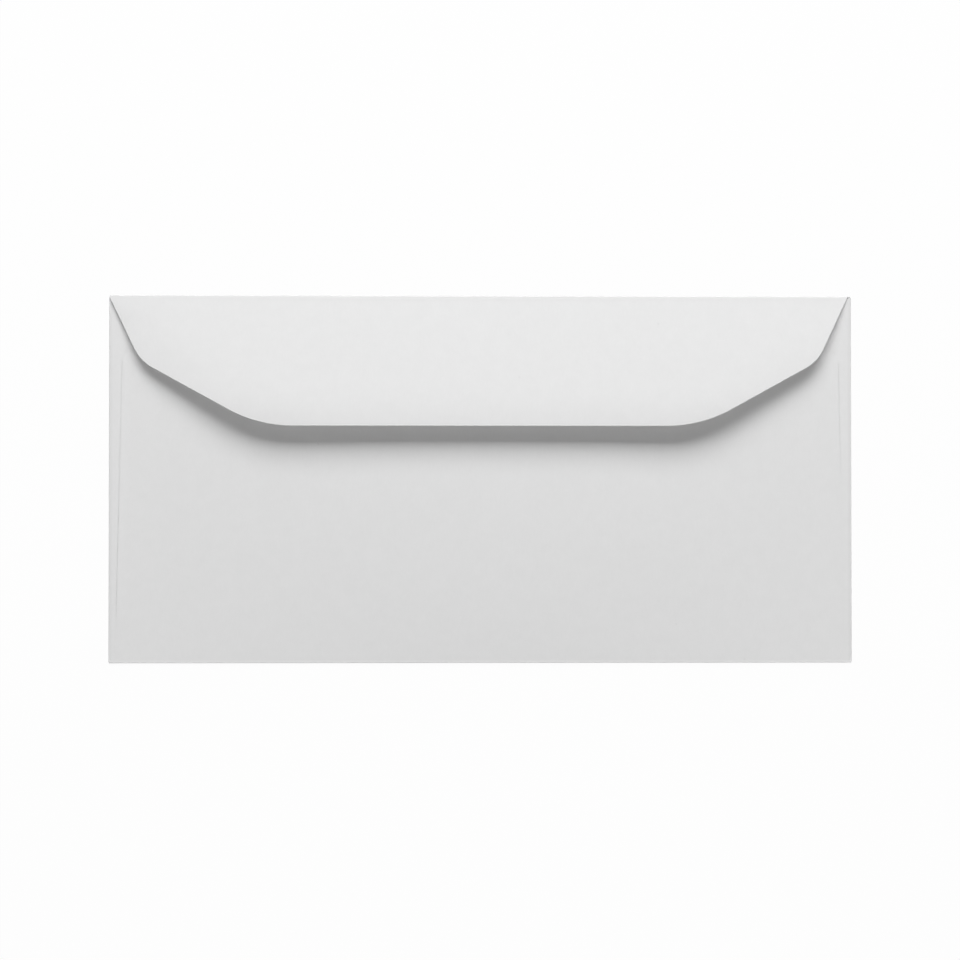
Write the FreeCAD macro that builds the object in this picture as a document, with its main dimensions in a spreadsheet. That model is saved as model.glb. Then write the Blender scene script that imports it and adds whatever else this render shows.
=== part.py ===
import FreeCAD, Part
import math
import os

import Sketcher

# A paper envelope of the long business kind, in millimetres. It is one die-cut sheet of white paper, folded
# and glued: the front panel lies on its address side, two side tabs are folded in onto it, the back panel is
# folded up from the bottom edge and glued onto the tabs, and the top flap has sprung a little open.
# X runs along the long edges, Y from the bottom fold to the flap's fold, and Z up from what the envelope
# lies on. The origin is below the middle of the envelope.

SIZES = (
    ("width", 221.0, "over the two side folds"),
    ("height", 109.2, "from the bottom fold to the flap's fold"),
    ("paper", 0.13, "thickness of the sheet"),
    ("air", 0.1, "clearance between the front panel and a side tab"),
    ("tab_width", 15.0, "from the side fold to the tab's inner edge, where the glue ends"),
    ("tab_end_gap", 0.4, "from the front panel's corner to the end of a tab's fold"),
    ("tab_taper", 6.0, "how far a tab's end runs in by its inner edge"),
    ("fold_end_gap", 0.3, "from the side fold to the end of the bottom fold"),
    ("corner_cut", 4.0, "height of the slanting cut at the back panel's bottom corners"),
    ("seam_inset_low", 2.1, "from the side fold to the back panel's edge, above that cut"),
    ("seam_inset_high", 4.0, "the same at the throat"),
    ("throat_depth", 16.5, "from the flap's fold to the back panel's top edge"),
    ("throat_corner", 3.0, "radius of the back panel's top corners"),
    ("crown_rise", 1.3, "how far the back panel bulges over the seams, across its middle"),
    ("crown_start", 12.0, "from the bottom fold to where the bulge has half its height"),
    ("crown_full", 36.0, "from the bottom fold to where the bulge is full"),
    ("throat_rise", 1.4, "height of the bulge at the throat"),
    ("flap_fold_radius", 0.25, "inside radius of the flap's fold"),
    ("flap_angle", 10.5, "degrees that the flap stands up from flat"),
    ("flap_depth", 38.9, "from the flap's fold to its free edge, in plan"),
    ("curl_depth", 30.0, "from the flap's fold to where the flap starts to curl down, in plan"),
    ("curl_radius", 70.0, "radius of that curl, on the underside"),
    ("flap_shift", 0.55, "how far the flap is cut to the left of the middle"),
    ("flap_inset", 0.4, "how much narrower each half of the flap is than the panel, at its top corner"),
    ("shoulder_inset", 10.0, "the same at the flap's shoulder corner"),
    ("shoulder_depth", 19.6, "from the flap's fold to the shoulder corner"),
    ("shoulder_radius", 13.0, "rounding of the shoulder corner"),
    ("nose_inset", 45.0, "the same as flap_inset at the corner between the slant and the free edge"),
    ("nose_radius", 40.5, "rounding of that corner"),
    ("die_margin", 2.0, "how far the cutting die reaches past the paper that it trims"),
)

# Heights and places that several pieces of the sheet share, as expressions of the sizes.
SIDE_FOLD = "(sizes.paper + sizes.air / 2)"
BOTTOM_FOLD = "(1.5 * sizes.paper + sizes.air / 2)"
FLAP_FOLD = "(sizes.flap_fold_radius + sizes.paper)"
TAB_UNDERSIDE = "(sizes.paper + sizes.air)"
BACK_UNDERSIDE = "(2 * sizes.paper + sizes.air)"
PANEL_SIDE = f"(sizes.width / 2 - {SIDE_FOLD})"
PANEL_LOW = f"(-sizes.height / 2 + {BOTTOM_FOLD})"
PANEL_HIGH = f"(sizes.height / 2 - {FLAP_FOLD})"
TAB_EDGE = "(sizes.width / 2 - sizes.tab_width)"
THROAT = "(sizes.height / 2 - sizes.throat_depth)"
FREE_EDGE = "(sizes.height / 2 - sizes.flap_depth)"

# The points of a line or an arc, as the sketches count them.
START, END, CENTRE = 1, 2, 3


def add_sizes(doc):
    """The spreadsheet of driving dimensions, one row for each size."""
    sheet = doc.addObject("Spreadsheet::Sheet", "sizes")
    for row, (alias, value, meaning) in enumerate(SIZES, start=1):
        sheet.set(f"A{row}", meaning)
        sheet.set(f"B{row}", str(value))
        sheet.setAlias(f"B{row}", alias)
    doc.recompute()
    return sheet


def value_of(thing, expression):
    """The plain number that an expression of the sizes gives."""
    return float(thing.evalExpression(expression))


def add_sketch(body, name, plane, offset="0"):
    """A sketch on one of the body's origin planes, moved along the plane's normal."""
    sketch = body.newObject("Sketcher::SketchObject", name)
    origin_plane = next(part for part in body.Origin.OriginFeatures if part.Role == plane)
    sketch.AttachmentSupport = [(origin_plane, "")]
    sketch.MapMode = "FlatFace"
    sketch.setExpression("AttachmentOffset.Base.z", offset)
    return sketch


def drive(sketch, kind, name, geometry, expression):
    """A named dimension of the sketch, tied to an expression of the sizes."""
    value = value_of(sketch, expression)
    if kind == "Angle":
        value = math.radians(value)
    index = sketch.addConstraint(Sketcher.Constraint(kind, *geometry, value))
    sketch.renameConstraint(index, name)
    sketch.setExpression(f"Constraints.{name}", expression)


def place(sketch, name, point, across, up):
    """Two dimensions that put a point of the sketch at (across, up) from its origin."""
    drive(sketch, "DistanceX", f"{name}_across", point, across)
    drive(sketch, "DistanceY", f"{name}_up", point, up)


def join(sketch, kind, first, second):
    """Coincident, Tangent or Perpendicular between two end points."""
    sketch.addConstraint(Sketcher.Constraint(kind, *first, *second))


def vector(across, up):
    return FreeCAD.Vector(across, up, 0)


def add_line(sketch, start, end):
    return sketch.addGeometry(Part.LineSegment(vector(*start), vector(*end)))


def add_arc(sketch, centre, radius, start, end):
    """An arc that runs anticlockwise between two angles in degrees."""
    circle = Part.Circle(vector(*centre), FreeCAD.Vector(0, 0, 1), radius)
    return sketch.addGeometry(Part.ArcOfCircle(circle, math.radians(start), math.radians(end)))


def add_outline(sketch, prefix, corners):
    """A closed outline with a straight run between corners, which are (name, across, up, radius) in order.

    The radius is None at a sharp corner. A rounded one keeps the point where its two runs would meet.
    """
    places = [vector(value_of(sketch, across), value_of(sketch, up)) for _, across, up, _ in corners]
    arrive, leave, arcs = list(places), list(places), {}
    for index, (_, _, _, radius) in enumerate(corners):
        if radius is None:
            continue
        here = places[index]
        back = (places[index - 1] - here).normalize()
        ahead = (places[(index + 1) % len(places)] - here).normalize()
        half_angle = back.getAngle(ahead) / 2
        reach = value_of(sketch, radius) / math.tan(half_angle)
        arrive[index] = here + back * reach
        leave[index] = here + ahead * reach
        middle = (back + ahead).normalize()
        to_centre = value_of(sketch, radius) / math.sin(half_angle)
        nearest = here + middle * (to_centre - value_of(sketch, radius))
        arcs[index] = Part.Arc(arrive[index], nearest, leave[index])
    runs = []
    for index in range(len(corners)):
        following = (index + 1) % len(corners)
        runs.append(sketch.addGeometry(Part.LineSegment(leave[index], arrive[following])))
    for index, (name, across, up, radius) in enumerate(corners):
        before, after = runs[index - 1], runs[index]
        if radius is None:
            join(sketch, "Coincident", (before, END), (after, START))
            place(sketch, f"{prefix}{name}", (after, START), across, up)
            continue
        arc = sketch.addGeometry(arcs[index])
        kept = sketch.Geometry[arc]
        from_start = (kept.StartPoint - arrive[index]).Length
        from_end = (kept.EndPoint - arrive[index]).Length
        first, last = (START, END) if from_start < from_end else (END, START)
        join(sketch, "Tangent", (before, END), (arc, first))
        join(sketch, "Tangent", (arc, last), (after, START))
        corner = sketch.addGeometry(Part.Point(places[index]), True)
        sketch.addConstraint(Sketcher.Constraint("PointOnObject", corner, START, before))
        sketch.addConstraint(Sketcher.Constraint("PointOnObject", corner, START, after))
        place(sketch, f"{prefix}{name}", (corner, START), across, up)
        drive(sketch, "Radius", f"{prefix}{name}_radius", (arc,), radius)


def add_half_fold(sketch, centre, outer, side):
    """Half a ring one sheet thick, open towards the panels, that bulges right (side 1) or left (side -1)."""
    middle = tuple(value_of(sketch, part) for part in centre)
    radius = value_of(sketch, outer)
    inner = radius - value_of(sketch, "sizes.paper")
    turn = -90 if side > 0 else 90
    outside = add_arc(sketch, middle, radius, turn, turn + 180)
    inside = add_arc(sketch, middle, inner, turn, turn + 180)
    for end, height in ((START, -side), (END, side)):
        rim = (middle[0], middle[1] + height * radius)
        bore = (middle[0], middle[1] + height * inner)
        closing = add_line(sketch, rim, bore)
        join(sketch, "Coincident", (outside, end), (closing, START))
        join(sketch, "Coincident", (inside, end), (closing, END))
        sketch.addConstraint(Sketcher.Constraint("Vertical", closing))
        sketch.addConstraint(Sketcher.Constraint("PointOnObject", outside, CENTRE, closing))
    join(sketch, "Coincident", (outside, CENTRE), (inside, CENTRE))
    place(sketch, "centre", (outside, CENTRE), *centre)
    drive(sketch, "Radius", "outside", (outside,), outer)
    drive(sketch, "Radius", "inside", (inside,), f"{outer} - sizes.paper")


def add_pad(body, name, sketch, length, symmetric=False):
    pad = body.newObject("PartDesign::Pad", name)
    pad.Profile = sketch
    pad.SideType = "Symmetric" if symmetric else "One side"
    pad.setExpression("Length", length)
    return pad


def add_mirrored(body, name, features):
    """The same features on the left side."""
    mirrored = body.newObject("PartDesign::Mirrored", name)
    mirrored.Originals = features
    middle = next(part for part in body.Origin.OriginFeatures if part.Role == "YZ_Plane")
    mirrored.MirrorPlane = (middle, [""])
    body.Tip = mirrored
    return mirrored


def add_front_and_flap(body):
    """The front panel, the flap's fold and the flap as one long strip, still as wide as the panel.

    The sketch is the strip's edge, seen from the side: out along the lower face, round the fold, up the flap
    and over its curl, and back along the upper face.
    """
    sketch = add_sketch(body, "strip_edge", "YZ_Plane")
    paper, outer = value_of(sketch, "sizes.paper"), value_of(sketch, FLAP_FOLD)
    curl = value_of(sketch, "sizes.curl_radius")
    low, high = value_of(sketch, PANEL_LOW), value_of(sketch, PANEL_HIGH)
    lean = math.radians(value_of(sketch, "sizes.flap_angle"))
    strip_end = value_of(sketch, f"{FREE_EDGE} - sizes.die_margin")
    curl_start = value_of(sketch, "sizes.height / 2 - sizes.curl_depth")

    # The flap leaves its fold along a line that leans up by the flap's angle, square to this direction.
    square = vector(math.sin(lean), math.cos(lean))
    along = vector(-math.cos(lean), math.sin(lean))
    fold_centre = vector(high, outer)
    fold_top = fold_centre + square * outer
    flap_top = fold_top + along * ((fold_top.x - curl_start) / math.cos(lean))
    curl_centre = flap_top - square * (curl + paper)
    last_angle = math.degrees(math.acos((strip_end - curl_centre.x) / (curl + paper)))
    first_angle = 90 - math.degrees(lean)
    outward = vector(math.cos(math.radians(last_angle)), math.sin(math.radians(last_angle)))
    tip_top = curl_centre + outward * (curl + paper)
    tip_low = curl_centre + outward * curl
    flap_low = curl_centre + square * curl
    fold_low = fold_centre + square * (outer - paper)

    front_low = add_line(sketch, (low, 0), (high, 0))
    fold_outside = add_arc(sketch, fold_centre[:2], outer, -90, first_angle)
    flap_upper = add_line(sketch, fold_top[:2], flap_top[:2])
    curl_outside = add_arc(sketch, curl_centre[:2], curl + paper, first_angle, last_angle)
    tip = add_line(sketch, tip_top[:2], tip_low[:2])
    curl_inside = add_arc(sketch, curl_centre[:2], curl, first_angle, last_angle)
    flap_lower = add_line(sketch, flap_low[:2], fold_low[:2])
    fold_inside = add_arc(sketch, fold_centre[:2], outer - paper, -90, first_angle)
    front_top = add_line(sketch, (high, paper), (low, paper))
    bottom_end = add_line(sketch, (low, paper), (low, 0))

    join(sketch, "Tangent", (front_low, END), (fold_outside, START))
    join(sketch, "Tangent", (fold_outside, END), (flap_upper, START))
    join(sketch, "Tangent", (flap_upper, END), (curl_outside, START))
    join(sketch, "Perpendicular", (curl_outside, END), (tip, START))
    join(sketch, "Coincident", (tip, END), (curl_inside, END))
    join(sketch, "Tangent", (curl_inside, START), (flap_lower, START))
    join(sketch, "Tangent", (flap_lower, END), (fold_inside, END))
    join(sketch, "Tangent", (fold_inside, START), (front_top, START))
    join(sketch, "Coincident", (front_top, END), (bottom_end, START))
    join(sketch, "Coincident", (bottom_end, END), (front_low, START))
    join(sketch, "Coincident", (fold_outside, CENTRE), (fold_inside, CENTRE))
    join(sketch, "Coincident", (curl_outside, CENTRE), (curl_inside, CENTRE))
    sketch.addConstraint(Sketcher.Constraint("Horizontal", front_low))
    sketch.addConstraint(Sketcher.Constraint("Horizontal", front_top))
    sketch.addConstraint(Sketcher.Constraint("Vertical", bottom_end))
    place(sketch, "bottom", (front_low, START), PANEL_LOW, "0")
    drive(sketch, "DistanceX", "fold_across", (fold_outside, CENTRE), PANEL_HIGH)
    drive(sketch, "Radius", "fold_outer", (fold_outside,), FLAP_FOLD)
    drive(sketch, "Radius", "fold_inner", (fold_inside,), "sizes.flap_fold_radius")
    drive(sketch, "Angle", "flap_lean", (flap_upper,), "180 - sizes.flap_angle")
    drive(sketch, "DistanceX", "curl_start", (curl_outside, START), "sizes.height / 2 - sizes.curl_depth")
    drive(sketch, "Radius", "curl", (curl_inside,), "sizes.curl_radius")
    drive(sketch, "Distance", "thickness", (tip,), "sizes.paper")
    drive(sketch, "DistanceX", "strip_end", (tip, START), f"{FREE_EDGE} - sizes.die_margin")
    return add_pad(body, "strip", sketch, f"2 * {PANEL_SIDE}", symmetric=True)


def cut_flap_outline(body):
    """The flap trimmed to its own outline, above the middle of its fold."""
    sketch = add_sketch(body, "flap_outline", "XY_Plane", FLAP_FOLD)
    fold_line = "sizes.height / 2"
    above = "sizes.height / 2 + sizes.die_margin"
    left, right = "-sizes.flap_shift - sizes.width / 2 + ", "-sizes.flap_shift + sizes.width / 2 - "
    shoulder_up = "sizes.height / 2 - sizes.shoulder_depth"
    add_outline(
        sketch,
        "flap_",
        (
            ("corner_left", f"{left}sizes.flap_inset", fold_line, None),
            ("shoulder_left", f"{left}sizes.shoulder_inset", shoulder_up, "sizes.shoulder_radius"),
            ("nose_left", f"{left}sizes.nose_inset", FREE_EDGE, "sizes.nose_radius"),
            ("nose_right", f"{right}sizes.nose_inset", FREE_EDGE, "sizes.nose_radius"),
            ("shoulder_right", f"{right}sizes.shoulder_inset", shoulder_up, "sizes.shoulder_radius"),
            ("corner_right", f"{right}sizes.flap_inset", fold_line, None),
            ("above_right", f"{right}sizes.flap_inset", above, None),
            ("above_left", f"{left}sizes.flap_inset", above, None),
        ),
    )
    far_left, far_right = "-sizes.width / 2 - sizes.die_margin", "sizes.width / 2 + sizes.die_margin"
    far_low = f"{FREE_EDGE} - 2 * sizes.die_margin"
    far_high = "sizes.height / 2 + 2 * sizes.die_margin"
    add_outline(
        sketch,
        "die_",
        (
            ("low_left", far_left, far_low, None),
            ("low_right", far_right, far_low, None),
            ("high_right", far_right, far_high, None),
            ("high_left", far_left, far_high, None),
        ),
    )
    pocket = body.newObject("PartDesign::Pocket", "flap_cut")
    pocket.Profile = sketch
    pocket.Type = "ThroughAll"
    pocket.Reversed = True
    return pocket


def add_side_tabs(body):
    """A tab on each short side: a half-round fold off the front panel, then a strip with tapered ends."""
    fold = add_sketch(body, "side_fold_edge", "XZ_Plane")
    add_half_fold(fold, (PANEL_SIDE, SIDE_FOLD), SIDE_FOLD, 1)
    root = "(sizes.height - 2 * sizes.tab_end_gap)"
    side_fold = add_pad(body, "side_fold", fold, root, symmetric=True)

    plan = add_sketch(body, "side_tab_outline", "XY_Plane", TAB_UNDERSIDE)
    inner = f"({root} / 2 - sizes.tab_taper)"
    add_outline(
        plan,
        "tab_",
        (
            ("root_low", PANEL_SIDE, f"-{root} / 2", None),
            ("root_high", PANEL_SIDE, f"{root} / 2", None),
            ("inner_high", TAB_EDGE, inner, None),
            ("inner_low", TAB_EDGE, f"-{inner}", None),
        ),
    )
    side_tab = add_pad(body, "side_tab", plan, "sizes.paper")
    return add_mirrored(body, "side_tabs", [side_fold, side_tab])


def add_bottom_fold(body):
    """The half-round fold between the front panel and the back panel."""
    sketch = add_sketch(body, "bottom_fold_edge", "YZ_Plane")
    add_half_fold(sketch, (PANEL_LOW, BOTTOM_FOLD), BOTTOM_FOLD, -1)
    return add_pad(body, "bottom_fold", sketch, "sizes.width - 2 * sizes.fold_end_gap", symmetric=True)


def add_seams(body):
    """The back panel's flat side strips, which are glued down onto the tabs."""
    sketch = add_sketch(body, "seam_outline", "XY_Plane", BACK_UNDERSIDE)
    add_outline(
        sketch,
        "seam_",
        (
            ("inner_low", TAB_EDGE, PANEL_LOW, None),
            ("fold_end", "sizes.width / 2 - sizes.fold_end_gap", PANEL_LOW, None),
            ("outer_low", "sizes.width / 2 - sizes.seam_inset_low", f"{PANEL_LOW} + sizes.corner_cut", None),
            ("outer_high", "sizes.width / 2 - sizes.seam_inset_high", THROAT, "sizes.throat_corner"),
            ("inner_high", TAB_EDGE, THROAT, None),
        ),
    )
    seam = add_pad(body, "seam", sketch, "sizes.paper")
    return add_mirrored(body, "seams", [seam])


def add_crown_section(body, name, place_along, rise):
    """The back panel between its seams, cut across: a strip one sheet thick that arches up by its rise."""
    sketch = add_sketch(body, name, "XZ_Plane", f"-({place_along})")
    side = value_of(sketch, TAB_EDGE)
    under = value_of(sketch, BACK_UNDERSIDE)
    thick = value_of(sketch, "sizes.paper")
    crown = value_of(sketch, rise)
    faces = []
    for low in (under, under + thick):
        ends = (vector(-side, low), vector(side, low))
        if crown > 0:
            faces.append(sketch.addGeometry(Part.Arc(ends[1], vector(0, low + crown), ends[0])))
        else:
            faces.append(sketch.addGeometry(Part.LineSegment(ends[1], ends[0])))
    for end, across in ((START, side), (END, -side)):
        closing = add_line(sketch, (across, under), (across, under + thick))
        join(sketch, "Coincident", (faces[0], end), (closing, START))
        join(sketch, "Coincident", (faces[1], end), (closing, END))
    for label, face, height in (
        ("lower", faces[0], BACK_UNDERSIDE),
        ("upper", faces[1], f"{BACK_UNDERSIDE} + sizes.paper"),
    ):
        place(sketch, f"{label}_right", (face, START), TAB_EDGE, height)
        place(sketch, f"{label}_left", (face, END), f"-{TAB_EDGE}", height)
        if crown > 0:
            radius = f"({TAB_EDGE} ^ 2 + ({rise}) ^ 2) / (2 * ({rise}))"
            drive(sketch, "Radius", f"{label}_arch", (face,), radius)
    return sketch


def add_crown(body):
    """The middle of the back panel, flat at the bottom fold and bulging a little towards the throat."""
    sections = [
        add_crown_section(body, "crown_at_fold", PANEL_LOW, "0"),
        add_crown_section(body, "crown_rising", f"{PANEL_LOW} + sizes.crown_start", "sizes.crown_rise / 2"),
        add_crown_section(body, "crown_full", f"{PANEL_LOW} + sizes.crown_full", "sizes.crown_rise"),
        add_crown_section(body, "crown_at_throat", THROAT, "sizes.throat_rise"),
    ]
    loft = body.newObject("PartDesign::AdditiveLoft", "crown")
    loft.Profile = sections[0]
    loft.Sections = sections[1:]
    loft.Ruled = False
    return loft


def build_envelope(doc):
    """The whole folded sheet, which is one solid."""
    body = doc.addObject("PartDesign::Body", "envelope")
    body.Label = "envelope"
    body.Placement = FreeCAD.Placement()
    add_front_and_flap(body)
    doc.recompute()
    full_strip = body.Shape.Volume
    cut_flap_outline(body)
    doc.recompute()
    if body.Shape.Volume >= full_strip:
        raise RuntimeError("the flap's outline cut nothing")
    add_side_tabs(body)
    doc.recompute()
    add_bottom_fold(body)
    add_seams(body)
    doc.recompute()
    add_crown(body)
    doc.recompute()
    return body


def check(doc, parts):
    """Stops before anything is written if a feature failed or a part isn't one sound solid."""
    for thing in doc.Objects:
        if "Invalid" in thing.State or "Error" in thing.State:
            raise RuntimeError(f"{thing.Name} is {thing.State}")
    for part in parts:
        shape = part.Shape
        if shape.isNull() or not shape.isValid():
            raise RuntimeError(f"{part.Label} has no sound shape")
        if len(shape.Solids) != 1:
            raise RuntimeError(f"{part.Label} has {len(shape.Solids)} solids")


def main():
    doc = FreeCAD.newDocument("envelope_model")
    add_sizes(doc)
    parts = [build_envelope(doc)]
    check(doc, parts)
    os.makedirs("parts", exist_ok=True)
    for part in parts:
        part.Shape.exportStep(f"parts/{part.Label}.step")
        box = part.Shape.BoundBox
        print(f"{part.Label}: {part.Shape.Volume:.1f} mm3, {len(part.Shape.Faces)} faces")
        print(f"{box.XLength:.3f} by {box.YLength:.3f} by {box.ZLength:.3f} mm")


main()
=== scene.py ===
import math

import bmesh
import bpy
from mathutils import Matrix, Vector, noise


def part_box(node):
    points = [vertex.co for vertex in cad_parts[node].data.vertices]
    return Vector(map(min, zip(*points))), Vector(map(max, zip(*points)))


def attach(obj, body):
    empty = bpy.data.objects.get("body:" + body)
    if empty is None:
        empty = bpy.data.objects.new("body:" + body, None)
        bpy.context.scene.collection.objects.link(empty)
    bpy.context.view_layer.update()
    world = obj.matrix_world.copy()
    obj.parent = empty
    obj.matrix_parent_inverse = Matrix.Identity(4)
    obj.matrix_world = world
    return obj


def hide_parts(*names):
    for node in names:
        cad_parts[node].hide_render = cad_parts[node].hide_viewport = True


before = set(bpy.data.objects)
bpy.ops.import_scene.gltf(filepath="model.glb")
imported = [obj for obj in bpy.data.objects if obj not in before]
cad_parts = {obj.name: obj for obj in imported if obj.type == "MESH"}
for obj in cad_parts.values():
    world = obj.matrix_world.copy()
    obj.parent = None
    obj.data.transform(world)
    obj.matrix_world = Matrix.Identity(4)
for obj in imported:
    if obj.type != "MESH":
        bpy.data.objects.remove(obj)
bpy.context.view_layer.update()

# A white paper envelope that lies on its address side, with its flap sprung a little open.
# Metres, in the same frame as the solids: X along the long edges, Y towards the flap's fold, Z up.
# The whole sheet is drawn flat first, much as the die cuts it, and then folded point by point.
# Depths are measured down from the top edge, and insets in from the short edges.

LOW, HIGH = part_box("envelope")
WIDTH = HIGH[0] - LOW[0]
HEIGHT = HIGH[1] - LOW[1]

# The sheet, and the outer radius of each fold. The bottom fold holds the side tabs between its layers.
PAPER = 0.00013
AIR = 0.0001
GLUE = 0.00001
FLAP_FOLD_INSIDE = 0.00025
SIDE_FOLD = PAPER + AIR / 2
BOTTOM_FOLD = PAPER + (PAPER + AIR) / 2
FLAP_FOLD = PAPER + FLAP_FOLD_INSIDE

# The flat address side, between its folds.
PANEL_SIDE = WIDTH / 2 - SIDE_FOLD
PANEL_LOW = -HEIGHT / 2 + BOTTOM_FOLD
PANEL_HIGH = HEIGHT / 2 - FLAP_FOLD

# The side tabs. Their roots stop a little short of the bottom and the top edge.
TAB_WIDTH = 0.015
TAB_EDGE = WIDTH / 2 - TAB_WIDTH
TAB_LOW_GAP = 0.0003
TAB_HIGH_GAP = 0.0004
TAB_LOW = -HEIGHT / 2 + TAB_LOW_GAP
TAB_HIGH = HEIGHT / 2 - TAB_HIGH_GAP
TAB_TAPER = 0.006

# The back panel: its outline, and its bulge, which has half of its rise and then all of it at two
# distances above the bottom fold.
FOLD_END_GAP = 0.0002
CORNER_CUT = 0.004
SEAM_INSET_LOW = 0.0021
SEAM_INSET_HIGH = 0.004
THROAT_DEPTH = 0.0165
THROAT = HEIGHT / 2 - THROAT_DEPTH
THROAT_CORNER = 0.003
CROWN_RISE = 0.0013
CROWN_HALF_AT = 0.012
CROWN_FULL_AT = 0.036
THROAT_RISE = 0.0014

# The back panel's seams. Each is how far its edge stands off the tab, and between which Y that sets in.
# The share says how much of this is there: its mean, its least, and its wave, as described below.
LEFT_SEAM = (0.00017, -0.047, -0.036)
RIGHT_SEAM = (0.00030, -0.004, 0.008)
SEAM_LIFT_WIDTH = 0.0022
SEAM_SHARE = 0.8
SEAM_SHARE_LEAST = 0.15
SEAM_SHARE_WAVE = (0.6, 0.021, 7.7)

# The flap, which is cut a little to the left of the middle.
FLAP_LEAN = math.radians(10.5)
FLAP_SHIFT = 0.00055
FLAP_INSET = 0.0004
FLAP_DEPTH = 0.0389
FREE_EDGE = HEIGHT / 2 - FLAP_DEPTH
CURL_DEPTH = 0.030
CURL_START = HEIGHT / 2 - CURL_DEPTH
CURL_RADIUS = 0.070 + PAPER / 2
SHOULDER_INSET = 0.0100
SHOULDER_DEPTH = 0.0196
SHOULDER_RADIUS = 0.013
NOSE_INSET = 0.0450
NOSE_RADIUS = 0.0405
# How much of the top fold is left at its right end, where the flap is cut short of the panel.
FOLD_RUN_OUT = 0.00022
# The gum, from where to where inside the flap's free outline, and how soft its two edges are.
GUM_BAND = (0.0022, 0.0135)
GUM_SOFTNESS = 0.0006

# Where the flap's sides droop: how wide the strip is and the radius that it bends to.
LEFT_WING = (0.020, 0.240)
LEFT_SLANT = (0.012, 0.150)
RIGHT_SLANT = (0.0075, 0.107)

# The paper's unevenness. A wave is (height, length, seed of its pattern). Each grows from nothing at a
# fold to its whole height over a stretch of the paper, as the droop and the glue do.
FRONT_RISE = PAPER / 4
FRONT_WAVE = (FRONT_RISE, 0.045, 2.3)
FRONT_STRETCH = 0.012
BACK_WAVE = (0.00010, 0.050, 5.1)
BACK_RIPPLE = (0.00003, 0.017, 9.4)
BACK_STRETCH = 0.02
FLAP_WAVE = (0.00012, 0.060, 11.9)
FLAP_WAVE_STRETCH = 0.02
FLAP_RIPPLE = (0.00003, 0.015, 3.4)
FLAP_RIPPLE_STRETCH = 0.01
WING_STRETCH = 0.01
GLUE_STRETCH = 0.001
# The glue steadies the back panel beside the tabs, less and less up to this share of its bulge.
STEADY_BULGE = 0.5

# Mesh steps.
PANEL_STEP = 0.0020
EDGE_STEP = 0.0007
EDGE_ZONE = 0.006
FOLD_STEPS = 8
BESIDE_FOLD = 0.00008
NOSE_ARC_STEPS = 22
SHOULDER_ARC_STEPS = 10
THROAT_ARC_STEPS = 10
SAME_PLACE = 1e-8
KEY_DIGITS = 8

# The paper's colour, and the painted shade and light on its folds, as factors. A fold's painted shade or
# light is there up to the first distance from its middle and gone at the second, and the third number is
# what it adds. Its broken fibres have such distances too.
PAPER_WHITE = (0.80, 0.80, 0.80, 1.0)
# Painted shade on the side folds and the top fold, and painted light on the bottom fold.
SIDE_FOLD_PAINTED_SHADE = (0.00050, 0.00130, -0.040)
TOP_FOLD_PAINTED_SHADE = (0.00030, 0.00070, -0.045)
BOTTOM_FOLD_PAINTED_LIGHT = (0.00020, 0.00060, 0.090)
CREASE = (0.00012, 0.00055)

# The paper's patterns, as (scale, detail, stretch along each axis), and what each gives between its low
# and its high places.
EVEN = (1.0, 1.0, 1.0)
PATTERN_SPAN = (0.3, 0.7)
PATTERN_ROUGHNESS = 0.55
CLOUDS = (260.0, 3.0, EVEN)
CLOUD_TONES = (0.990, 1.006)
FIBRES = (1500.0, 2.0, (1.0, 0.35, 1.0))
FIBRE_TONES = (0.993, 1.005)
PATCHES = (700.0, 2.0, EVEN)
PATCH_ROUGHNESS = (0.80, 0.90)
TOOTH = (3800.0, 3.0, EVEN)
TOOTH_FIBRES = (900.0, 2.0, (1.0, 0.4, 1.0))
BROKEN_FIBRES = (5200.0, 2.0, (1.0, 1.0, 0.2))
BUMP_STRENGTH = 0.5
BUMP_HEIGHT = 0.000012
PAPER_SHINE = 0.35
PAPER_SHEEN = 0.05
# The specks: how many cells a metre has, how far from a cell's middle a speck fades out (in cells), its
# tones, and up to which of its random greys a cell has one.
SPECK_CELLS = 110.0
SPECK_REACH = (0.02, 0.05)
SPECK_TONES = (0.955, 1.0)
SPECK_RARITY = (0.30, 0.32)
# The gum: its colour, how much of the paper it covers and what it adds to the roughness.
GUM_TINT = (0.74, 0.73, 0.70, 1.0)
GUM_COVER = 0.7
GUM_ROUGHNESS = -0.45

# The studio: three soft boxes, as (azimuth from +Y, elevation, distance, half width, half height, watts),
# and a faint glow from all round that dies out towards the zenith. The angles are in degrees.
BACK_BOX = (2.0, 36.0, 1.15, 25.0, 15.0, 15.6)
FRONT_BOX = (180.0, 44.0, 1.6, 30.0, 18.0, 8.9)
LOW_BOX = (180.0, 20.0, 1.6, 30.0, 10.0, 4.8)
HORIZON_GLOW = 0.15
PURE_WHITE = (1.0, 1.0, 1.0, 1.0)

# The floor lies just below the paper, and shows the eye this share of pure white instead of its own look.
FLOOR_REACH = 3.0
FLOOR_DROP = 0.00002
FLOOR_WHITE = (0.86, 0.86, 0.86, 1.0)
FLOOR_SHARE = 0.95

# The camera: how far it is from its target, and its lean off the vertical across and up, in degrees.
CAMERA_TARGET = (-0.00036, -0.00022, 0.0)
CAMERA_DISTANCE = 0.9
CAMERA_LEAN = (-1.455, -1.178)
CAMERA_LENS = 113.38
CAMERA_SENSOR = 36.0
CAMERA_CLIP = 0.01


def spread(low, high, step):
    """Evenly spaced places from low to high, about a step apart. A negative step goes down."""
    count = max(1, round((high - low) / step))
    return [low + (high - low) * k / count for k in range(count + 1)]


def chain(*runs):
    """Runs of places end to end, where each begins at the place that the one before it ends at."""
    places = list(runs[0])
    for run in runs[1:]:
        places += run[1:]
    return places


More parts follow.
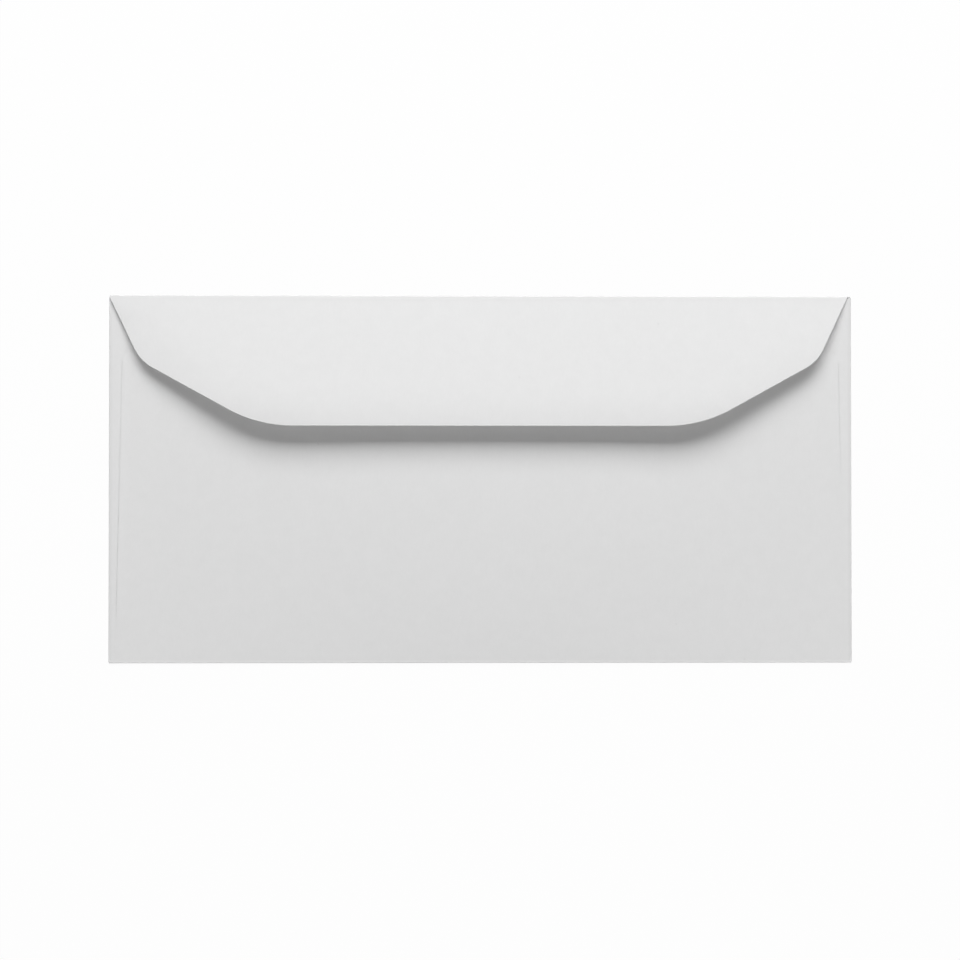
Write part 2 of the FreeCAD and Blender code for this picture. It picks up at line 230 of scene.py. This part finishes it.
def graded(low, high, near_low, near_high):
    """Places from low to high, closer together within the edge zone at the ends that ask for it."""
    start = low + EDGE_ZONE if near_low else low
    end = high - EDGE_ZONE if near_high else high
    places = spread(start, end, PANEL_STEP)
    if near_low:
        places = chain(spread(low, start, EDGE_STEP), places)
    if near_high:
        places = chain(places, spread(end, high, EDGE_STEP))
    return places


def smooth(value, low, high):
    """0 below low, 1 above high, and an even ramp with soft ends between them."""
    part = min(1.0, max(0.0, (value - low) / (high - low)))
    return part * part * (3.0 - 2.0 * part)


def wave(across, along, kind):
    """A gentle unevenness, up to about the height of its kind up and down."""
    height, length, seed = kind
    return height * noise.noise(Vector((across / length, along / length, seed)))


class Blank:
    """The flat sheet. Across and along are its two directions, the same as X and Y on the address side.

    Along the sheet the back panel comes first, then the address side, then the flap. A fold takes up the
    arc length of the middle of the paper, and the panels are as long as they look from above.
    """

    side_radius = SIDE_FOLD - PAPER / 2
    bottom_radius = BOTTOM_FOLD - PAPER / 2
    flap_radius = FLAP_FOLD - PAPER / 2
    side_fold = side_radius * math.pi
    bottom_fold = bottom_radius * math.pi
    flap_fold = flap_radius * (math.pi - FLAP_LEAN)
    tab_start = PANEL_SIDE + side_fold
    tab_end = tab_start + PANEL_SIDE - TAB_EDGE
    back_start = PANEL_LOW - bottom_fold
    corner_end = back_start - CORNER_CUT
    back_end = back_start - (THROAT - PANEL_LOW)
    flap_middle = PANEL_HIGH + flap_radius * math.pi / 2
    flap_start = PANEL_HIGH + flap_fold
    flap_root = PANEL_HIGH + FLAP_FOLD * math.sin(FLAP_LEAN)

    @classmethod
    def of_flap(cls, up):
        """Where a place on the flap, given by its Y once folded, lies along the sheet."""
        return cls.flap_start + cls.flap_root - up


def flap_corners():
    """The flap's outline from its left top corner round to the right one, as (across, along, radius)."""
    corners = []
    for side in (-1, 1):
        shoulder = side * (WIDTH / 2 - SHOULDER_INSET) - FLAP_SHIFT
        nose = side * (WIDTH / 2 - NOSE_INSET) - FLAP_SHIFT
        top = side * (WIDTH / 2 - FLAP_INSET) - FLAP_SHIFT
        run = [
            (top, Blank.flap_middle, None),
            (shoulder, Blank.of_flap(HEIGHT / 2 - SHOULDER_DEPTH), SHOULDER_RADIUS),
            (nose, Blank.of_flap(FREE_EDGE), NOSE_RADIUS),
        ]
        corners += run if side < 0 else run[::-1]
    return corners


def outline_cuts(corners, arc_steps):
    """The straight cuts that leave a convex outline: one along each run, then tangents round the corners.

    A corner is (across, along, radius), with None for a sharp one. The arc steps say by a corner's index how
    finely it is rounded. A cut is (point, outward direction).
    """
    cuts = []
    inside = sum((Vector(corner[:2]) for corner in corners), Vector((0, 0))) / len(corners)
    for first, second in zip(corners, corners[1:]):
        start, end = Vector(first[:2]), Vector(second[:2])
        outward = Vector((-(end - start).y, (end - start).x)).normalized()
        if outward.dot(inside - start) > 0:
            outward.negate()
        cuts.append((start, outward))
    for index, steps in arc_steps.items():
        across, along, radius = corners[index]
        before, after = cuts[index - 1][1], cuts[index][1]
        half = before.angle(after) / 2
        centre = Vector((across, along)) - (before + after).normalized() * radius / math.cos(half)
        for k in range(1, steps):
            outward = (before * (steps - k) + after * k).normalized()
            cuts.append((centre + outward * radius, outward))
    return cuts


FLAP_CORNERS = flap_corners()
FLAP_ARC_STEPS = {1: SHOULDER_ARC_STEPS, 2: NOSE_ARC_STEPS, 3: NOSE_ARC_STEPS, 4: SHOULDER_ARC_STEPS}
FLAP_CUTS = outline_cuts(FLAP_CORNERS, FLAP_ARC_STEPS)
LEFT_SIDE, LEFT_SLOPE, _, RIGHT_SLOPE = FLAP_CUTS[:4]
DROOPS = ((LEFT_SIDE, LEFT_WING), (LEFT_SLOPE, LEFT_SLANT), (RIGHT_SLOPE, RIGHT_SLANT))


def depth_inside(place, cut):
    """How far a place of the blank lies inside a cut."""
    point, outward = cut
    return -(place - point).dot(outward)


def tab_cuts(side):
    """The tapered ends of a side tab."""
    slope = TAB_TAPER / (Blank.tab_end - Blank.tab_start)
    cuts = []
    for end, root in ((-1, TAB_LOW), (1, TAB_HIGH)):
        cuts.append((Vector((side * Blank.tab_start, root)), Vector((side * slope, end)).normalized()))
    return cuts


def back_cuts():
    """The back panel's slanting sides with their rounded throat corners, above its cut bottom corners."""
    cuts = []
    for side in (-1, 1):
        corners = [
            (side * (WIDTH / 2 - SEAM_INSET_LOW), Blank.corner_end, None),
            (side * (WIDTH / 2 - SEAM_INSET_HIGH), Blank.back_end, THROAT_CORNER),
            (0.0, Blank.back_end, None),
        ]
        slope, _, *corner = outline_cuts(corners, {1: THROAT_ARC_STEPS})
        cuts += [slope] + corner
    return cuts


def corner_cuts():
    """The slanting cuts at the back panel's bottom corners."""
    across = SEAM_INSET_LOW - FOLD_END_GAP
    cuts = []
    for side in (-1, 1):
        start = Vector((side * (WIDTH / 2 - FOLD_END_GAP), Blank.back_start))
        cuts.append((start, Vector((side * CORNER_CUT, -across)).normalized()))
    return cuts


def fold_end_cuts():
    """The square ends of the bottom fold."""
    ends = WIDTH / 2 - FOLD_END_GAP
    return [(Vector((side * ends, 0)), Vector((side, 0))) for side in (-1, 1)]


def run_out_cut():
    """The slanting end of the top fold, from the flap's right corner to the panel's side."""
    corner = Vector(FLAP_CORNERS[-1][:2])
    run = Vector((PANEL_SIDE, PANEL_HIGH + FOLD_RUN_OUT)) - corner
    return [(corner, Vector((-run.y, run.x)).normalized())]


def add_grid(bm, across_places, along_places, known):
    """A patch of quads, which shares the corner points that other patches have already made."""

    def point(across, along):
        key = (round(across, KEY_DIGITS), round(along, KEY_DIGITS))
        if key not in known:
            known[key] = bm.verts.new((across, along, 0))
        return known[key]

    for left, right in zip(across_places, across_places[1:]):
        for near, far in zip(along_places, along_places[1:]):
            bm.faces.new((point(left, near), point(right, near), point(right, far), point(left, far)))


def trim(bm, belongs, cuts):
    """Cuts the faces that belong along each line, and drops what lies beyond it.

    The edges and points go in by their number, because a set has no order and each run must give the same.
    """
    for point, outward in cuts:
        where, facing = point.to_3d(), outward.to_3d()
        faces = [face for face in bm.faces if belongs(face.calc_center_median())]
        edges = {edge for face in faces for edge in face.edges}
        verts = {vert for face in faces for vert in face.verts}
        geometry = faces + sorted(edges, key=lambda e: e.index) + sorted(verts, key=lambda v: v.index)
        bmesh.ops.bisect_plane(bm, geom=geometry, dist=SAME_PLACE, plane_co=where, plane_no=facing)
        bm.verts.index_update()
        bm.edges.index_update()
        beyond = [
            face
            for face in bm.faces
            if belongs(face.calc_center_median()) and (face.calc_center_median() - where).dot(facing) > 0
        ]
        bmesh.ops.delete(bm, geom=beyond, context="FACES")


def draw_panels(bm):
    """The address side, the flap, the back panel and the tabs, untrimmed, as patches with shared borders."""
    known = {}
    panel_across = graded(-PANEL_SIDE, PANEL_SIDE, True, True)
    front_along = chain(
        spread(PANEL_LOW, TAB_LOW, EDGE_STEP),
        spread(TAB_LOW, TAB_HIGH, PANEL_STEP),
        spread(TAB_HIGH, PANEL_HIGH, EDGE_STEP),
    )
    add_grid(bm, panel_across, front_along, known)
    beside_flap = Blank.flap_start + BESIDE_FOLD
    flap_along = chain(
        spread(PANEL_HIGH, Blank.flap_middle, Blank.flap_fold / FOLD_STEPS),
        spread(Blank.flap_middle, Blank.flap_start, Blank.flap_fold / FOLD_STEPS),
        [Blank.flap_start, beside_flap],
        graded(beside_flap, Blank.of_flap(FREE_EDGE), False, True),
    )
    add_grid(bm, panel_across, flap_along, known)
    beside_back = Blank.back_start - BESIDE_FOLD
    back_along = chain(
        spread(PANEL_LOW, Blank.back_start, -Blank.bottom_fold / FOLD_STEPS),
        [Blank.back_start, beside_back],
        spread(beside_back, Blank.corner_end, -EDGE_STEP),
        graded(Blank.back_end, Blank.corner_end, True, False)[::-1],
    )
    add_grid(bm, panel_across, back_along, known)
    beside_tab = Blank.tab_start + BESIDE_FOLD
    tab_across = chain(
        spread(PANEL_SIDE, Blank.tab_start, Blank.side_fold / FOLD_STEPS),
        [Blank.tab_start, beside_tab],
        spread(beside_tab, Blank.tab_start + EDGE_ZONE, EDGE_STEP / 2),
        spread(Blank.tab_start + EDGE_ZONE, Blank.tab_end, PANEL_STEP),
    )
    for side in (-1, 1):
        add_grid(bm, [side * across for across in tab_across], spread(TAB_LOW, TAB_HIGH, PANEL_STEP), known)
    bmesh.ops.recalc_face_normals(bm, faces=bm.faces)


def draw_blank():
    """The flat die-cut sheet as one mesh, trimmed to its outline."""
    bm = bmesh.new()
    draw_panels(bm)
    trim(bm, lambda centre: centre.y > Blank.flap_middle, FLAP_CUTS)
    trim(bm, lambda centre: PANEL_HIGH < centre.y < Blank.flap_middle, run_out_cut())
    trim(bm, lambda centre: Blank.back_start < centre.y < PANEL_LOW, fold_end_cuts())
    trim(bm, lambda centre: Blank.corner_end < centre.y < Blank.back_start, corner_cuts())
    trim(bm, lambda centre: centre.y < Blank.corner_end, back_cuts())
    for side in (-1, 1):
        trim(bm, lambda centre: side * centre.x > Blank.tab_start, tab_cuts(side))
    return bm


def crown_profile(up):
    """The height of the back panel's bulge along its middle: a cubic curve through four known places."""
    knots = (
        (PANEL_LOW, 0.0),
        (PANEL_LOW + CROWN_HALF_AT, CROWN_RISE / 2),
        (PANEL_LOW + CROWN_FULL_AT, CROWN_RISE),
        (THROAT, THROAT_RISE),
    )
    height = 0.0
    for place, rise in knots:
        weight = rise
        for other, _ in knots:
            if other != place:
                weight *= (up - other) / (place - other)
        height += weight
    return height


def seam_lift(across, up):
    """How far the back panel's slanting edge stands off the tab beside its seam."""
    rising = (up - PANEL_LOW - CORNER_CUT) / (THROAT - PANEL_LOW - CORNER_CUT)
    inset = SEAM_INSET_LOW + (SEAM_INSET_HIGH - SEAM_INSET_LOW) * rising
    from_edge = WIDTH / 2 - inset - abs(across)
    lift, lift_low, lift_high = LEFT_SEAM if across < 0 else RIGHT_SEAM
    share = max(SEAM_SHARE_LEAST, SEAM_SHARE + wave(across, up, SEAM_SHARE_WAVE))
    return lift * share * (1 - smooth(from_edge, 0.0, SEAM_LIFT_WIDTH)) * smooth(up, lift_low, lift_high)


def back_rise(across, up, past):
    """How far the back panel stands above a flat one, by its glue, bulge, seams and unevenness."""
    bulge = max(0.0, 1 - (across / TAB_EDGE) ** 2)
    loose = smooth(bulge, 0.0, STEADY_BULGE) * smooth(past, 0.0, BACK_STRETCH)
    rise = GLUE * smooth(past, 0.0, GLUE_STRETCH)
    rise += crown_profile(up) * bulge
    rise += seam_lift(across, up)
    rise += loose * (wave(across, up, BACK_WAVE) + wave(across, up, BACK_RIPPLE))
    return rise


def wing_droop(place, past):
    """How far the flap's sides bend down, growing over the first stretch past its fold."""
    droop = 0.0
    for cut, (reach, bend) in DROOPS:
        inside = max(0.0, reach - depth_inside(place, cut))
        droop += inside * inside / (2 * bend)
    return droop * smooth(past, 0.0, WING_STRETCH)


def fold_front(across, along):
    """The address side, pushed up a little inside its edges."""
    edge = min(PANEL_SIDE - abs(across), along - PANEL_LOW, PANEL_HIGH - along)
    rise = (FRONT_RISE + wave(across, along, FRONT_WAVE)) * smooth(edge, 0.0, FRONT_STRETCH)
    return Vector((across, along, PAPER / 2 + rise)), Vector((0, 0, 1))


def fold_tab(across, along):
    """A side tab: round its fold, and from there flat towards the middle."""
    side = math.copysign(1.0, across)
    run = abs(across) - PANEL_SIDE
    turn = min(1.0, run / Blank.side_fold) * math.pi
    past = max(0.0, run - Blank.side_fold)
    out = PANEL_SIDE + Blank.side_radius * math.sin(turn) - past
    height = SIDE_FOLD - Blank.side_radius * math.cos(turn)
    return Vector((side * out, along, height)), Vector((-side * math.sin(turn), 0, math.cos(turn)))


def fold_back(across, along):
    """The back panel: round the bottom fold, and from there up to the throat."""
    run = PANEL_LOW - along
    turn = min(1.0, run / Blank.bottom_fold) * math.pi
    past = max(0.0, run - Blank.bottom_fold)
    up = PANEL_LOW - Blank.bottom_radius * math.sin(turn) + past
    height = BOTTOM_FOLD - Blank.bottom_radius * math.cos(turn)
    if past > 0:
        height += back_rise(across, up, past)
    return Vector((across, up, height)), Vector((0, math.sin(turn), math.cos(turn)))


def fold_flap(across, along):
    """The flap: round the top fold, and from there down again, leaning and at last curling."""
    run = along - PANEL_HIGH
    turn = min(run, Blank.flap_fold) / Blank.flap_radius
    past = max(0.0, run - Blank.flap_fold)
    up = PANEL_HIGH + Blank.flap_radius * math.sin(turn)
    height = FLAP_FOLD - Blank.flap_radius * math.cos(turn)
    if past == 0:
        return Vector((across, up, height)), Vector((0, -math.sin(turn), math.cos(turn)))
    lean = FLAP_LEAN
    start = up
    up -= past
    height += (start - max(up, CURL_START)) * math.tan(FLAP_LEAN)
    if up < CURL_START:
        lean = math.asin(math.sin(FLAP_LEAN) - (CURL_START - up) / CURL_RADIUS)
        height += CURL_RADIUS * (math.cos(lean) - math.cos(FLAP_LEAN))
    height -= wing_droop(Vector((across, along)), past)
    height += smooth(past, 0.0, FLAP_WAVE_STRETCH) * wave(across, up, FLAP_WAVE)
    height += smooth(past, 0.0, FLAP_RIPPLE_STRETCH) * wave(across, up, FLAP_RIPPLE)
    return Vector((across, up, height)), Vector((0, -math.sin(lean), -math.cos(lean)))


def fold(place):
    """Where the middle of the paper goes at a place of the blank, and where its inner side faces there."""
    across, along = place.x, place.y
    if along < PANEL_LOW:
        return fold_back(across, along)
    if along > PANEL_HIGH:
        return fold_flap(across, along)
    if abs(across) > PANEL_SIDE:
        return fold_tab(across, along)
    return fold_front(across, along)


def from_side_fold(place):
    """How far a place of the blank is from the middle of a side fold."""
    return abs(abs(place.x) - PANEL_SIDE - Blank.side_fold / 2)


def from_bottom_fold(place):
    """How far a place of the blank is from the middle of the bottom fold."""
    return abs(place.y - PANEL_LOW + Blank.bottom_fold / 2)


def from_top_fold(place):
    """How far a place of the blank is from the top edge, half-way round the flap's fold."""
    return abs(place.y - Blank.flap_middle)


def crease_at(place):
    """How near a place of the blank is to the middle of a fold: 1 on it, 0 past the crease's far end."""
    return 1 - smooth(min(from_side_fold(place), from_bottom_fold(place), from_top_fold(place)), *CREASE)


def painted_fold_light_at(place):
    """How light the paper is painted near its folds: painted shade along the top fold and the side folds,
    and painted light along the bottom fold.
    """
    folds = [(from_top_fold(place), TOP_FOLD_PAINTED_SHADE), (from_bottom_fold(place), BOTTOM_FOLD_PAINTED_LIGHT)]
    if PANEL_LOW <= place.y <= PANEL_HIGH:
        folds.append((from_side_fold(place), SIDE_FOLD_PAINTED_SHADE))
    return 1 + sum(strength * (1 - smooth(away, near, far)) for away, (near, far, strength) in folds)


def gum_at(place):
    """Where the flap's inner side is gummed: a band along its free outline."""
    if place.y < Blank.flap_start:
        return 0.0
    inside = min(depth_inside(place, cut) for cut in FLAP_CUTS)
    near, far = GUM_BAND
    begun = smooth(inside, near - GUM_SOFTNESS, near + GUM_SOFTNESS)
    return begun * (1 - smooth(inside, far - GUM_SOFTNESS, far + GUM_SOFTNESS))


def store(mesh, name, values):
    """Keeps a number for each point of the mesh, which the paper's material reads."""
    mesh.attributes.new(name, "FLOAT", "POINT").data.foreach_set("value", values)


def add_sheet():
    """The folded sheet at its true thickness: the blank's outer and inner sides, joined by rims."""
    bm = draw_blank()
    bm.verts.index_update()
    bm.faces.ensure_lookup_table()
    flat = [vert.co.to_2d() for vert in bm.verts]
    faces = [[vert.index for vert in face.verts] for face in bm.faces]
    borders = [edge.link_loops[0] for edge in bm.edges if edge.is_boundary]
    rims = [(loop.vert.index, loop.link_loop_next.vert.index) for loop in borders]
    up_facing = bm.faces[0].normal.z > 0
    bm.free()
    folded = [fold(place) for place in flat]
    outer = [place - facing * PAPER / 2 for place, facing in folded]
    inner = [place + facing * PAPER / 2 for place, facing in folded]
    count = len(flat)
    outer_faces = [face[::-1] for face in faces]
    inner_faces = [[count + k for k in face] for face in faces]
    rim_faces = [[first, second, count + second, count + first] for first, second in rims]
    all_faces = outer_faces + inner_faces + rim_faces
    if not up_facing:
        all_faces = [face[::-1] for face in all_faces]
    mesh = bpy.data.meshes.new("folded_sheet")
    mesh.from_pydata(outer + inner, [], all_faces)
    mesh.validate()
    store(mesh, "crease", [crease_at(place) for place in flat] * 2)
    # The painted shade and light on the folds, kept for the paper's colour.
    store(mesh, "painted_fold_light", [painted_fold_light_at(place) for place in flat] * 2)
    store(mesh, "gum", [0.0] * count + [gum_at(place) for place in flat])
    mesh.polygons.foreach_set("use_smooth", [True] * len(mesh.polygons))
    sharpen_rims(mesh, len(outer_faces) + len(inner_faces))
    sheet = bpy.data.objects.new("folded_sheet", mesh)
    bpy.context.collection.objects.link(sheet)
    return sheet


def sharpen_rims(mesh, first_rim):
    """Keeps the cut edges crisp: no smoothing between a rim face and the sides of the sheet."""
    sharp = {key for polygon in mesh.polygons[first_rim:] for key in long_edges(mesh, polygon)}
    for edge in mesh.edges:
        edge.use_edge_sharp = edge.key in sharp


def long_edges(mesh, polygon):
    """The two edges of a rim face that lie on the sides of the sheet."""
    count = len(mesh.vertices) // 2
    return [key for key in polygon.edge_keys if (key[0] < count) == (key[1] < count)]


def paper_material():
    """White wove paper: soft fibre clouding, a fine tooth, rare specks, painted shade and light on the
    folds, and the flap's gum.
    """
    material = bpy.data.materials.new("white_wove_paper")
    material.use_nodes = True
    nodes, links = material.node_tree.nodes, material.node_tree.links
    shader = nodes["Principled BSDF"]
    shader.inputs["Specular IOR Level"].default_value = PAPER_SHINE
    shader.inputs["Sheen Weight"].default_value = PAPER_SHEEN
    place = nodes.new("ShaderNodeTexCoord").outputs["Object"]

    def add_pattern(kind):
        scale, detail, stretch = kind
        mapping = nodes.new("ShaderNodeMapping")
        mapping.inputs["Scale"].default_value = stretch
        links.new(place, mapping.inputs["Vector"])
        texture = nodes.new("ShaderNodeTexNoise")
        texture.inputs["Scale"].default_value = scale
        texture.inputs["Detail"].default_value = detail
        texture.inputs["Roughness"].default_value = PATTERN_ROUGHNESS
        links.new(mapping.outputs["Vector"], texture.inputs["Vector"])
        return texture.outputs["Fac"]

    def add_map(value, span, result):
        ranged = nodes.new("ShaderNodeMapRange")
        for name, number in zip(("From Min", "From Max", "To Min", "To Max"), span + result):
            ranged.inputs[name].default_value = number
        links.new(value, ranged.inputs["Value"])
        return ranged.outputs["Result"]

    def add_math(kind, first, second):
        step = nodes.new("ShaderNodeMath")
        step.operation = kind
        for socket, value in zip(step.inputs, (first, second)):
            if isinstance(value, float):
                socket.default_value = value
            else:
                links.new(value, socket)
        return step.outputs["Value"]

    def add_attribute(name):
        attribute = nodes.new("ShaderNodeAttribute")
        attribute.attribute_name = name
        return attribute.outputs["Fac"]

    def add_mix(kind, factor, first, second):
        mix = nodes.new("ShaderNodeMix")
        mix.data_type = "RGBA"
        mix.blend_type = kind
        for name, value in (("Factor", factor), ("A", first), ("B", second)):
            if isinstance(value, (float, tuple)):
                mix.inputs[name].default_value = value
            else:
                links.new(value, mix.inputs[name])
        return mix.outputs["Result"]

    crease, gum = add_attribute("crease"), add_attribute("gum")

    # The colour: clouding, fibres, specks, the painted shade and light on the folds, and the gum over them.
    clouding = add_map(add_pattern(CLOUDS), PATTERN_SPAN, CLOUD_TONES)
    fibres = add_map(add_pattern(FIBRES), PATTERN_SPAN, FIBRE_TONES)
    cells = nodes.new("ShaderNodeTexVoronoi")
    cells.inputs["Scale"].default_value = SPECK_CELLS
    links.new(place, cells.inputs["Vector"])
    speck_tone = add_map(cells.outputs["Distance"], SPECK_REACH, SPECK_TONES)
    no_speck = add_map(cells.outputs["Color"], SPECK_RARITY, (0.0, 1.0))
    specks = add_math("MAXIMUM", speck_tone, no_speck)
    # The specks times the painted shade and light on the folds.
    specks_and_fold_light = add_math("MULTIPLY", specks, add_attribute("painted_fold_light"))
    tone = add_math("MULTIPLY", add_math("MULTIPLY", clouding, fibres), specks_and_fold_light)
    white = add_mix("MULTIPLY", 1.0, PAPER_WHITE, tone)
    gummed = add_mix("MIX", add_math("MULTIPLY", gum, GUM_COVER), white, GUM_TINT)
    links.new(gummed, shader.inputs["Base Color"])

    # The roughness: patches that are duller and less dull, and the smoother gum.
    dull = add_map(add_pattern(PATCHES), PATTERN_SPAN, PATCH_ROUGHNESS)
    smoother = add_math("MULTIPLY", gum, GUM_ROUGHNESS)
    links.new(add_math("ADD", dull, smoother), shader.inputs["Roughness"])

    # The bump: a tooth all over, and broken fibres in the folds.
    tooth = add_math("ADD", add_pattern(TOOTH), add_pattern(TOOTH_FIBRES))
    broken = add_math("MULTIPLY", add_pattern(BROKEN_FIBRES), crease)
    bump = nodes.new("ShaderNodeBump")
    bump.inputs["Strength"].default_value = BUMP_STRENGTH
    bump.inputs["Distance"].default_value = BUMP_HEIGHT
    links.new(add_math("ADD", tooth, broken), bump.inputs["Height"])
    links.new(bump.outputs["Normal"], shader.inputs["Normal"])
    return material


def seen_white(nodes, links):
    """1 where the eye looks straight, in a reflection or through glass, else 0."""
    rays = nodes.new("ShaderNodeLightPath")
    total = rays.outputs["Is Camera Ray"]
    for name in ("Is Glossy Ray", "Is Transmission Ray"):
        either = nodes.new("ShaderNodeMath")
        either.operation = "MAXIMUM"
        links.new(total, either.inputs[0])
        links.new(rays.outputs[name], either.inputs[1])
        total = either.outputs["Value"]
    return total


def floor_material():
    """A matt white that the eye sees mixed with pure white, so that only a little of a shadow is left."""
    material = bpy.data.materials.new("white_floor")
    material.use_nodes = True
    nodes, links = material.node_tree.nodes, material.node_tree.links
    nodes.remove(nodes["Principled BSDF"])
    matt = nodes.new("ShaderNodeBsdfDiffuse")
    matt.inputs["Color"].default_value = FLOOR_WHITE
    glow = nodes.new("ShaderNodeEmission")
    glow.inputs["Color"].default_value = PURE_WHITE
    share = nodes.new("ShaderNodeMath")
    share.operation = "MULTIPLY"
    share.inputs[1].default_value = FLOOR_SHARE
    links.new(seen_white(nodes, links), share.inputs[0])
    blend = nodes.new("ShaderNodeMixShader")
    links.new(share.outputs["Value"], blend.inputs["Fac"])
    links.new(matt.outputs["BSDF"], blend.inputs[1])
    links.new(glow.outputs["Emission"], blend.inputs[2])
    links.new(blend.outputs["Shader"], nodes["Material Output"].inputs["Surface"])
    return material


def add_floor():
    """A plain white floor, just below the paper."""
    mesh = bpy.data.meshes.new("floor")
    outline = ((-1, -1), (1, -1), (1, 1), (-1, 1))
    corners = [(FLOOR_REACH * across, FLOOR_REACH * up, -FLOOR_DROP) for across, up in outline]
    mesh.from_pydata(corners, [], [(0, 1, 2, 3)])
    mesh.materials.append(floor_material())
    floor = bpy.data.objects.new("floor", mesh)
    bpy.context.collection.objects.link(floor)


def add_soft_box(name, azimuth, elevation, distance, half_wide, half_tall, watts):
    """A rectangular soft box that faces the origin. Its angles are in degrees, as seen from there."""
    azimuth, elevation = math.radians(azimuth), math.radians(elevation)
    flat = math.cos(elevation)
    towards = Vector((math.sin(azimuth) * flat, math.cos(azimuth) * flat, math.sin(elevation)))
    lamp = bpy.data.lights.new(name, "AREA")
    lamp.shape = "RECTANGLE"
    lamp.size = 2 * distance * math.tan(math.radians(half_wide))
    lamp.size_y = 2 * distance * math.tan(math.radians(half_tall))
    lamp.energy = watts
    box = bpy.data.objects.new(name, lamp)
    bpy.context.collection.objects.link(box)
    box.location = towards * distance
    box.rotation_euler = towards.to_track_quat("Z", "Y").to_euler()


def add_world():
    """White to the eye, and a faint glow near the horizon as a light."""
    world = bpy.data.worlds.new("studio")
    bpy.context.scene.world = world
    world.use_nodes = True
    nodes, links = world.node_tree.nodes, world.node_tree.links
    background = nodes["Background"]
    background.inputs["Color"].default_value = PURE_WHITE
    direction = nodes.new("ShaderNodeTexCoord")
    split = nodes.new("ShaderNodeSeparateXYZ")
    links.new(direction.outputs["Generated"], split.inputs["Vector"])
    glow = nodes.new("ShaderNodeMapRange")
    glow.inputs["To Min"].default_value = HORIZON_GLOW
    glow.inputs["To Max"].default_value = 0.0
    links.new(split.outputs["Z"], glow.inputs["Value"])
    level = nodes.new("ShaderNodeMapRange")
    level.inputs["To Max"].default_value = 1.0
    links.new(glow.outputs["Result"], level.inputs["To Min"])
    links.new(seen_white(nodes, links), level.inputs["Value"])
    links.new(level.outputs["Result"], background.inputs["Strength"])


def add_camera():
    """The photograph's view: from above, leaning a little to the left and towards the bottom edge."""
    across, up = (math.tan(math.radians(lean)) for lean in CAMERA_LEAN)
    towards = Vector((across, up, 1)).normalized()
    top = (Vector((0, 1, 0)) - towards * towards.y).normalized()
    right = top.cross(towards)
    camera = bpy.data.cameras.new("camera")
    camera.lens = CAMERA_LENS
    camera.sensor_width = CAMERA_SENSOR
    camera.clip_start = CAMERA_CLIP
    eye = bpy.data.objects.new("camera", camera)
    bpy.context.collection.objects.link(eye)
    turned = Matrix((right, top, towards)).transposed().to_4x4()
    eye.matrix_world = Matrix.Translation(Vector(CAMERA_TARGET) + towards * CAMERA_DISTANCE) @ turned
    bpy.context.scene.camera = eye


def main():
    """The envelope, its floor, its light and its camera."""
    sheet = add_sheet()
    sheet.data.materials.append(paper_material())
    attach(sheet, "root")
    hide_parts("envelope")
    add_floor()
    add_soft_box("back_box", *BACK_BOX)
    add_soft_box("front_box", *FRONT_BOX)
    add_soft_box("low_box", *LOW_BOX)
    add_world()
    add_camera()
    bpy.context.scene.view_settings.view_transform = "Standard"


main()
